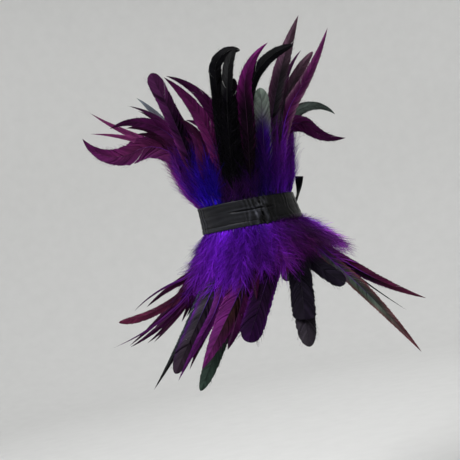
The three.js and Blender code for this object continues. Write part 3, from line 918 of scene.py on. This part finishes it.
def round_feather(kind, i, rng, width):
    """Angle round the band and sizes of one of the feathers that stand all round it."""
    around = 360 * (i + rng.uniform(-PLACE_SCATTER, PLACE_SCATTER)) / kind["count"]
    swing = kind["swing"] * math.cos(math.radians(around))
    first, last = (tilt + swing + rng.normal(0, ANGLE_SCATTER) for tilt in kind["tilts"])
    return around, {
        "length": kind["lengths"][i % len(kind["lengths"])] * rng.uniform(*LENGTH_SCATTER),
        "bend_at": ROUND_BEND, "tilt_root": first, "tilt_bend": (first + last) / 2, "tilt_tip": last,
        "lean": rng.normal(0, LEAN_SCATTER), "width": width, "turn": rng.normal(0, TURN_SCATTER),
        "taper": ROUND_TAPER, "fold": ROUND_FOLD,
    }


def round_spine(feather, around, side, height=ROOT_HEIGHT):
    angle = SIDE_AZIMUTH - around
    out = outward(angle)
    return Spine(feather, root_at(angle, side, height), side, out, np.cross(UP, out), out)


def fill_feathers(kind, zones, side, rng):
    """Short feathers all round the band."""
    grids = Grids()
    for i in range(kind["count"]):
        around, feather = round_feather(kind, i, rng, FILL_WIDTH)
        zone = zone_at(zones, around)
        feather["dye"] = FILL_DYES[rng.integers(len(FILL_DYES))]
        if zone[0] > FULL_REACH:
            spine = round_spine(feather, around, side)
            add_feather(grids, spine, feather, zone, rng, FILL_STEP, FILL_DOWN)
    return grids


def fluff_tone(around, side, rng, seed, most_turns, mean, scatter):
    tone = wall_noise(around, 0, seed + side, FLUFF_WAVES, most_turns)
    return FLUFF_MOTTLE * tone + rng.normal(mean, scatter)


def plumes(kind, zones, side, rng):
    """Fluff all round the band: plumes of soft barbs with a thin shaft, pale on some."""
    grids = Grids()
    wine = lit(DYES_AND_SHEEN["magenta"]["body"])
    for i in range(kind["count"]):
        around, feather = round_feather(kind, i, rng, 0)
        reach, root_tone, tip_tone = zone_at(zones, around)
        feather["length"] *= reach
        spine = round_spine(feather, around, side, FLUFF_ROOT_HEIGHT)
        count = int(feather["length"] * BARBS_FOR_EACH_MM)
        shade = math.exp(fluff_tone(around, side, rng, *FLUFF_SHADES))
        stain = np.clip(fluff_tone(around, side, rng, *FLUFF_STAINS), 0, MOST_STAIN)
        dyes = (mix(root_tone, wine, ROOT_STAIN_SHARE * stain) * shade, mix(tip_tone, wine, stain) * shade)
        opening = FLUFF_OPENINGS[side]
        add_down(grids, spine, dyes, rng, FLUFF_SPAN, count, opening, FLUFF_REACH, FLUFF_BARB_WIDTH)
        if side < 0 and CURL_SPAN[0] < angle_from(around, 0) < CURL_SPAN[1]:
            add_down(grids, spine, dyes, rng, width=FLUFF_BARB_WIDTH, **CURL)
        pale = lit(PALE_SHAFT) if rng.random() < PALE_SHAFT_SHARE else root_tone
        add_shaft(grids, spine, (pale, tip_tone), PLUME_SHAFT)
    return grids


# Ribbon


def band_relief(angle, z):
    """How far the satin stands out of the plain band."""
    turn = angle_from(angle, CREASE_MIDDLE)
    crease = 1 - smooth(np.abs(turn), *CREASE_FADE)
    line = CREASE_Z + CREASE_WAVE * np.sin(np.radians(angle) * 3)
    slit = smooth(turn, *SLIT_START) * (1 - smooth(turn, *SLIT_END))
    fold = CREASE_STEP * crease * smooth(z, line, line + CREASE_SLOPE)
    fold = fold + slit * (ridge(z, line, SLIT_LIP) + ridge(z, line, SLIT_PIT))
    hem_top = HEM_HEIGHT - BAND_TOP
    hem = HEM_STEP * (1 - smooth(z - hem_top, *HEM_SLOPE)) + ridge(z, hem_top, HEM_SEAM)
    edge = ridge(z, BAND_TOP, TOP_ROLL) - EDGE_DROP * smooth(np.abs(z), BAND_TOP - EDGE_ROUND, BAND_TOP)
    aside = angle_from(angle, GATHER_ANGLE)
    past = smooth(aside, 0, WRINKLE_START) * (1 - smooth(aside, *WRINKLE_FADE))
    wrinkle = np.sin(np.radians(angle) * WRINKLES + 2.5 * wall_noise(angle, z, *WRINKLE_NOISE))
    wrinkle = wrinkle * np.clip(wall_noise(angle, z, *WRINKLE_PATCHES), 0, 1)
    near = bump_at(aside, 0, PUCKER_REACH)
    pucker = np.sin(np.radians(angle) * PUCKERS + 2.2 * wall_noise(angle, z, *PUCKER_NOISE))
    sway = END_FOLD_SWAY * np.sin(z / 2)
    end = sum(ridge(angle_from(angle, fold_at) + sway, 0, END_FOLD) for fold_at in END_FOLD_ANGLES)
    soft = SOFT_RELIEF * wall_noise(angle, z, *SOFT_NOISE)
    soft = soft + SOFT_RIPPLE * np.sin(0.9 * z + 2 * np.sin(np.radians(angle) * 2))
    crumple = WRINKLE_DEPTH * past * wrinkle + PUCKER_DEPTH * near * pucker + end + soft
    hollow = bump_at(aside, 0, HOLLOW_HALF_ANGLE) * smooth(z, GATHER_BOTTOM, GATHER_BOTTOM + HOLLOW_SLOPE)
    hollow = hollow * (1 - smooth(z, GATHER_TOP - HOLLOW_SLOPE, GATHER_TOP))
    return (fold + hem + edge + crumple) * (1 - hollow) - HOLLOW_DEPTH * hollow


def spread(values, reach):
    """Running mean along both ways of a grid."""
    for axis in (0, 1):
        edges = [(reach, reach) if k == axis else (0, 0) for k in (0, 1)]
        sums = np.cumsum(np.pad(values, edges, mode="edge"), axis=axis)
        sums = np.moveaxis(np.insert(sums, 0, 0, axis=axis), axis, 0)
        values = np.moveaxis((sums[2 * reach + 1:] - sums[:-2 * reach - 1]) / (2 * reach + 1), 0, axis)
    return values


# Painted shade and painted highlights in patches round the gather, as a factor on the satin's colour
def painted_patch_light(angle, z):
    aside = angle_from(angle, GATHER_ANGLE)
    tone = 0
    for middle, height, wide, tall, change in PAINTED_GATHER_LIGHT:
        tone = tone + change * bump_at(aside, middle, wide) * bump_at(z, height, tall)
    return np.exp(tone)


def ridge_dyes(relief, reach, shade):
    """Colour of satin with painted light from its relief: a painted highlight on its ridges and painted shade
    in its folds.
    """
    depth = np.clip(RIDGE_CONTRAST * (relief - spread(relief, reach)), *RIDGE_RANGE)
    return lit(SATIN_COLOUR) * (shade * np.exp(depth))[..., None]


def plain_satin(points):
    return np.broadcast_to(lit(SATIN_COLOUR), points.shape)


def satin_piece(name, points, faces, dyes):
    return make_piece(name, points, faces, [satin], "satin_ribbon", dyes=dyes)


def ring_angles(count):
    return np.linspace(0, 360, count, endpoint=False)[:, None]


def ring_piece(name, outer, inner, dyes):
    """Closed wall all round the neck, up its outside and down its inside."""
    points = np.concatenate([outer, inner], axis=1)
    return satin_piece(name, points, quads(numbered(points), closed=(0, 1), flipped=True), dyes)


def satin_band():
    steps_round, steps_up, steps_down = BAND_STEPS
    angles = ring_angles(steps_round)
    rise = np.linspace(-BAND_TOP, BAND_TOP, steps_up)[None, :]
    relief = band_relief(angles, rise)
    outer = on_neck(angles, band_radius(rise) + relief, rise)
    fall = np.linspace(BAND_TOP, -BAND_TOP, steps_down)[None, :]
    inner = on_neck(angles, band_radius(fall) - RIBBON_WALL, fall)
    past = angle_from(angles, GATHER_ANGLE)
    # Painted shade where the band turns from the light and above the crease, with painted shade and
    # highlights in patches round the gather
    shade = 1 - SHADOW * smooth(past, *SHADOW_START) * (1 - smooth(past, *SHADOW_END))
    shade = shade * (1 - UPPER_SHADOW * smooth(rise, CREASE_Z, CREASE_Z + 1)) * painted_patch_light(angles, rise)
    plain = np.zeros(inner.shape[:2])
    relief = np.concatenate([relief, plain], axis=1)
    shade = np.concatenate([shade, plain + 1], axis=1)
    piece = ring_piece("satin_band", outer, inner, ridge_dyes(relief, RIDGE_REACH, shade))
    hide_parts("neck_band")


def satin_gather():
    """Crumpled lump where the ribbon is pinched, tucked into the band all round its edge."""
    v = np.linspace(0, 1, GATHER_STEPS)[:, None]
    u = np.linspace(-1, 1, GATHER_STEPS)[None, :]
    angle = GATHER_ANGLE + GATHER_HALF_ANGLE * u * (1 - GATHER_WAIST * np.sin(math.pi * v))
    z = GATHER_BOTTOM + (GATHER_TOP - GATHER_BOTTOM) * v - KNOT_DROP * bump_at(u, 0, 0.4) * (1 - v) ** 3
    crown = (1 - u**2) ** 1.2 * np.sin(math.pi * v) ** 0.5
    folds = 1 - np.abs(np.sin(3.4 * u + 1.6 * v + 1.2 * np.sin(5 * v + 2 * u))) ** 0.7
    lumps = np.sin(9 * u * v + 7 * v) * np.sin(6 * u - 5 * v)
    plain, folded, lumpy = GATHER_PARTS
    depth = GATHER_DEPTH * crown * (plain + folded * folds + lumpy * lumps) - GATHER_TUCK * (1 - crown)
    for across, up, size in GATHER_PITS:
        depth = depth - PIT_DEPTH * bump_at(u, across, size) * bump_at(v, up, 0.6 * size)
    depth = depth + (1 - smooth(u, 0, 0.4)) * ridge(z, CREASE_Z, GATHER_SLIT)
    depth = np.maximum(depth, PIT_FLOOR)
    points = on_neck(angle, band_radius(z) + GATHER_OUT + depth, z)
    # Painted shade, deeper towards the side where the band turns from the light, with painted shade and
    # highlights in patches and on its ridges and folds
    shade = (GATHER_SHADE - GATHER_SHADOW * smooth(u, 0.2, 0.9)) * painted_patch_light(angle, z)
    dyes = ridge_dyes(depth, GATHER_REACH, shade)
    piece = satin_piece("satin_gather", points, quads(numbered(points)), dyes)
    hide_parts("band_gather")


def backing_tape(name, side, zones):
    """Tape under the band. Past its rim the tape is painted with dark shade, the fluff's root colour
    darkened, and stands back behind the roots.
    """
    steps_round, steps_up = TAPE_STEPS
    angles = ring_angles(steps_round)
    low, high = sorted((side * TAPE_BOTTOM, side * TAPE_TOP))
    rise = np.linspace(low, high, steps_up)[None, :]
    base = band_radius(rise) - RIBBON_WALL - GAP
    wave = TAPE_WAVE * wall_noise(angles, rise, *TAPE_NOISE)
    past = smooth(np.abs(rise) - BAND_TOP, *TAPE_SLOPE)
    outer = on_neck(angles, base - TAPE_STEP * past, rise)
    inner = on_neck(angles, base - TAPE_WALL + wave, rise)[:, ::-1]
    _, root_tone, _ = zone_at(zones, SIDE_AZIMUTH - angles[:, 0])
    # Painted shade: past the rim the satin colour gives way to the fluff's root colour, darkened
    colour_and_light = mix(lit(SATIN_COLOUR), TAPE_SHADE * root_tone.T[:, None], past + 0 * angles)
    piece = ring_piece(name, outer, inner, np.concatenate([colour_and_light, colour_and_light[:, ::-1]], axis=1))


def tie_frame():
    """Place on the band behind the knot, with the ways along the band and out from it."""
    out = outward(TIE_ANGLE)
    return on_neck(TIE_ANGLE, band_radius(0), 0), np.cross(UP, out), out


def through(values, share):
    """Smooth curve through evenly spaced values, with no overshoot at its ends."""
    spots = np.linspace(0, 1, len(values))
    slopes = np.gradient(values, spots, axis=0)
    i = np.clip(np.searchsorted(spots, share, side="right") - 1, 0, len(values) - 2)
    step = spots[1]
    t = ((share - spots[i]) / step)[:, None]
    first = 2 * t**3 - 3 * t**2 + 1
    leaving = (t**3 - 2 * t**2 + t) * step
    arriving = (t**3 - t**2) * step
    return first * values[i] + leaving * slopes[i] + (1 - first) * values[i + 1] + arriving * slopes[i + 1]


def tie_end(name, rows):
    """Free ribbon end, curled a little across its width and cut straight."""
    start, along, out = tie_frame()
    steps, steps_across = TAIL_STEPS
    stations = through(np.array(rows, float), np.linspace(0, 1, steps))
    places = start + stations[:, :1] * along + stations[:, 1:2] * out + stations[:, 2:3] * UP
    heading = unit(np.gradient(places, axis=0))
    flat = unit(along - heading * (heading @ along)[:, None])
    upright = np.cross(heading, flat)
    turn = np.radians(stations[:, 4:5])
    wide = np.cos(turn) * flat + np.sin(turn) * upright
    thick = np.cos(turn) * upright - np.sin(turn) * flat
    across = np.linspace(-1, 1, steps_across)
    curl = TAIL_CURL * across**2 + TAIL_RIPPLE * np.sin(3 * across)
    half = stations[:, 3:4] / 2
    front = places[:, None] + wide[:, None] * (across * half)[..., None]
    front = front + thick[:, None] * curl[:, None]
    back = front[:, ::-1] - thick[:, None] * TAIL_WALL
    points = np.concatenate([front, back], axis=1)
    numbers = numbered(points)
    faces = [quads(numbers, closed=(1,))]
    for ring in (numbers[0], numbers[-1][::-1]):
        faces.append(quads(np.stack([ring[::-1][:steps_across], ring[:steps_across]])))
    piece = satin_piece(name, points, np.concatenate(faces), plain_satin(points))


def tie_knot():
    """Knot of three ribbon turns that wrap over each other."""
    start, along, out = tie_frame()
    length, depth, height = KNOT_HALF_SIZES
    steps, steps_round = KNOT_STEPS
    middle = start + out * (depth + KNOT_OUT)
    v = np.linspace(KNOT_POLE, math.pi - KNOT_POLE, steps)[:, None]
    u = np.linspace(0, 2 * math.pi, steps_round, endpoint=False)[None, :]
    turns = np.abs(np.sin(KNOT_TURNS * (v + KNOT_TILT * np.sin(u))))
    swell = 1 - KNOT_GROOVE + KNOT_GROOVE * turns**0.6
    x = np.cos(v) * length * swell
    y = np.sin(v) * np.cos(u) * depth * swell
    z = np.sin(v) * np.sin(u) * height * swell
    points = middle + x[..., None] * along + y[..., None] * out + z[..., None] * UP
    faces = quads(numbered(points), closed=(1,), flipped=True)
    piece = satin_piece("tie_knot", points, faces, plain_satin(points))
    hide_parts("ribbon_tie")


# Materials


def new_material(name):
    material = bpy.data.materials.new(name)
    material.use_nodes = True
    tree = material.node_tree
    return material, tree, tree.nodes["Principled BSDF"]


def node(tree, kind, **values):
    made = tree.nodes.new(kind)
    for key, value in values.items():
        if key in made.inputs:
            made.inputs[key].default_value = value
        else:
            setattr(made, key, value)
    return made


def noise(tree, scale, detail=3.0, stretch=(1.0, 1.0, 1.0)):
    coordinates = node(tree, "ShaderNodeTexCoord")
    mapping = node(tree, "ShaderNodeMapping", Scale=stretch)
    made = node(tree, "ShaderNodeTexNoise", Scale=scale, Detail=detail)
    tree.links.new(coordinates.outputs["Object"], mapping.inputs["Vector"])
    tree.links.new(mapping.outputs["Vector"], made.inputs["Vector"])
    return made.outputs["Fac"]


def noise_between(tree, scale, low, high):
    made = node(tree, "ShaderNodeMapRange", **{"To Min": low, "To Max": high})
    tree.links.new(noise(tree, scale), made.inputs["Value"])
    return made.outputs["Result"]


def coloured_material(name, mottle, gloss, specular):
    """Colour of the mesh, its dyes with any painted light and shade, with a soft mottle, and a roughness that
    varies.
    """
    material, tree, shader = new_material(name)
    colour_and_light = node(tree, "ShaderNodeVertexColor", layer_name="dye")
    scaled = node(tree, "ShaderNodeVectorMath", operation="SCALE")
    tree.links.new(colour_and_light.outputs["Color"], scaled.inputs[0])
    tree.links.new(noise_between(tree, *mottle), scaled.inputs["Scale"])
    tree.links.new(scaled.outputs["Vector"], shader.inputs["Base Color"])
    tree.links.new(noise_between(tree, *gloss), shader.inputs["Roughness"])
    shader.inputs["Specular IOR Level"].default_value = specular
    return material, tree, shader


def feather_material(name, roughness, sheen, specular):
    gloss = (FEATHER_GLOSS_SCALE, roughness - FEATHER_GLOSS_RANGE, roughness + FEATHER_GLOSS_RANGE)
    material, _, shader = coloured_material(name, FEATHER_MOTTLE, gloss, specular)
    shader.inputs["Sheen Weight"].default_value = sheen
    shader.inputs["Sheen Roughness"].default_value = 0.4
    shader.inputs["Sheen Tint"].default_value = (0.5, 0.25, 0.8, 1.0)
    return material


def satin_material():
    material, tree, shader = coloured_material("black_satin", SATIN_MOTTLE, SATIN_GLOSS, 0.12)
    bump = node(tree, "ShaderNodeBump", Strength=0.16, Distance=0.0004)
    tree.links.new(noise(tree, SATIN_WEAVE_SCALE, 2.0, SATIN_WEAVE_STRETCH), bump.inputs["Height"])
    tree.links.new(bump.outputs["Normal"], shader.inputs["Normal"])
    return material


def stage_material():
    material, tree, shader = new_material("pale_stage")
    colour = node(tree, "ShaderNodeValToRGB")
    for element, tone in zip(colour.color_ramp.elements, STAGE_TONES):
        element.color = tone
    tree.links.new(noise(tree, 30.0), colour.inputs["Fac"])
    tree.links.new(colour.outputs["Color"], shader.inputs["Base Color"])
    shader.inputs["Roughness"].default_value = 0.9
    shader.inputs["Specular IOR Level"].default_value = 0.1
    return material


# Camera, stage and light


def put(name, data, axes, place):
    """Camera or light, with the ways to its right, to its top and back from what it faces."""
    made = bpy.data.objects.new(name, data)
    turned = np.eye(4)
    turned[:3] = np.column_stack([*axes, place])
    made.matrix_world = Matrix(turned.tolist())
    bpy.context.scene.collection.objects.link(made)
    return made


def make_camera():
    rise = math.radians(CAMERA_ELEVATION)
    roll = math.radians(CAMERA_ROLL)
    back = math.cos(rise) * TOWARD + math.sin(rise) * UP
    level = math.cos(rise) * UP - math.sin(rise) * TOWARD
    right = math.cos(roll) * ACROSS - math.sin(roll) * level
    top = math.sin(roll) * ACROSS + math.cos(roll) * level
    aside, above = (pixels * PIXEL_SIZE for pixels in ORIGIN_FROM_MIDDLE)
    eye = (CAMERA_DISTANCE * back - aside * right - above * top) * MM
    data = bpy.data.cameras.new("photo_camera")
    data.lens = SENSOR_MM * CAMERA_DISTANCE / (PICTURE_WIDTH * PIXEL_SIZE)
    data.sensor_width = SENSOR_MM
    bpy.context.scene.camera = put("photo_camera", data, (right, top, back), eye)


def make_stage():
    """Round floor that curves up into a wall."""
    steps_round, steps_up = STAGE_STEPS
    bend = np.linspace(0, math.pi / 2, steps_up)
    flat = STAGE_RADIUS - STAGE_COVE
    radius = np.array([1, *(flat + STAGE_COVE * np.sin(bend)), STAGE_RADIUS])
    height = np.array([0, *(STAGE_COVE - STAGE_COVE * np.cos(bend)), STAGE_HEIGHT]) + FLOOR_Z
    points = outward(ring_angles(steps_round)) * radius[:, None] + height[:, None] * UP
    faces = quads(numbered(points), closed=(0,))
    stage = make_object("pale_stage", points, faces, [stage_material()])
    stage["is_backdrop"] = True


def make_lights():
    for name, (aside, above, near, size, power) in LIGHTS.items():
        data = bpy.data.lights.new(name, "AREA")
        data.size = size
        data.energy = power
        place = aside * ACROSS + near * TOWARD + above * UP
        back = unit(place)
        right = unit(np.cross(UP, back))
        put(name, data, (right, np.cross(back, right), back), place)
    world = bpy.data.worlds.new("soft_room")
    world.use_nodes = True
    background = world.node_tree.nodes["Background"]
    background.inputs["Color"].default_value = (0.95, 0.97, 1.0, 1.0)
    background.inputs["Strength"].default_value = 0.26
    bpy.context.scene.world = world


make_camera()
make_stage()
make_lights()
bpy.context.scene.view_settings.view_transform = "Standard"

satin = satin_material()
feather_finishes = [
    feather_material("feather_vane", 0.45, 0.0, 0.025),
    feather_material("feather_down", 0.6, 0.02, 0.05),
    feather_material("feather_shaft", 0.4, 0.0, 0.1),
]


def feather_piece(name, grids):
    return make_piece(name, materials=feather_finishes, slot="dyed_feather", **grids.arrays())


backing_tape("upper_tape", 1, UPPER_ZONES)
backing_tape("lower_tape", -1, LOWER_ZONES)
satin_band()
satin_gather()
tie_knot()
tie_end("tie_end_up", TAIL_UP)
tie_end("tie_end_down", TAIL_DOWN)

ROWS = {
    "upper": (1, UPPER_FEATHERS, UPPER_ZONES, UPPER_PLUMES, UPPER_FILL),
    "lower": (-1, LOWER_FEATHERS, LOWER_ZONES, LOWER_PLUMES, LOWER_FILL),
}
for number, (row, (side, table, zones, fluff, fill)) in enumerate(ROWS.items()):
    rng = np.random.default_rng(SEED + number)
    feathers = [dict(zip(FEATHER_COLUMNS, values)) for values in table]
    beside = companions(feathers, side, rng)
    mirrored = for_far_side(feathers, side)
    near = feather_piece(f"{row}_near_feathers", side_feathers(feathers, zones, side, rng))
    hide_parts(f"{row}_feather_fringe")
    feather_piece(f"{row}_companion_feathers", side_feathers(beside, zones, side, rng, step=FILL_STEP))
    feather_piece(f"{row}_far_feathers", side_feathers(mirrored, zones, side, rng, hand=-1))
    feather_piece(f"{row}_fill_feathers", fill_feathers(fill, zones, side, rng))
    feather_piece(f"{row}_fluff", plumes(fluff, zones, side, rng))

boxes = {"cad": CAD_BOX, "visual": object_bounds()}
{name: [list(corner) for corner in box] for name, box in boxes.items()}
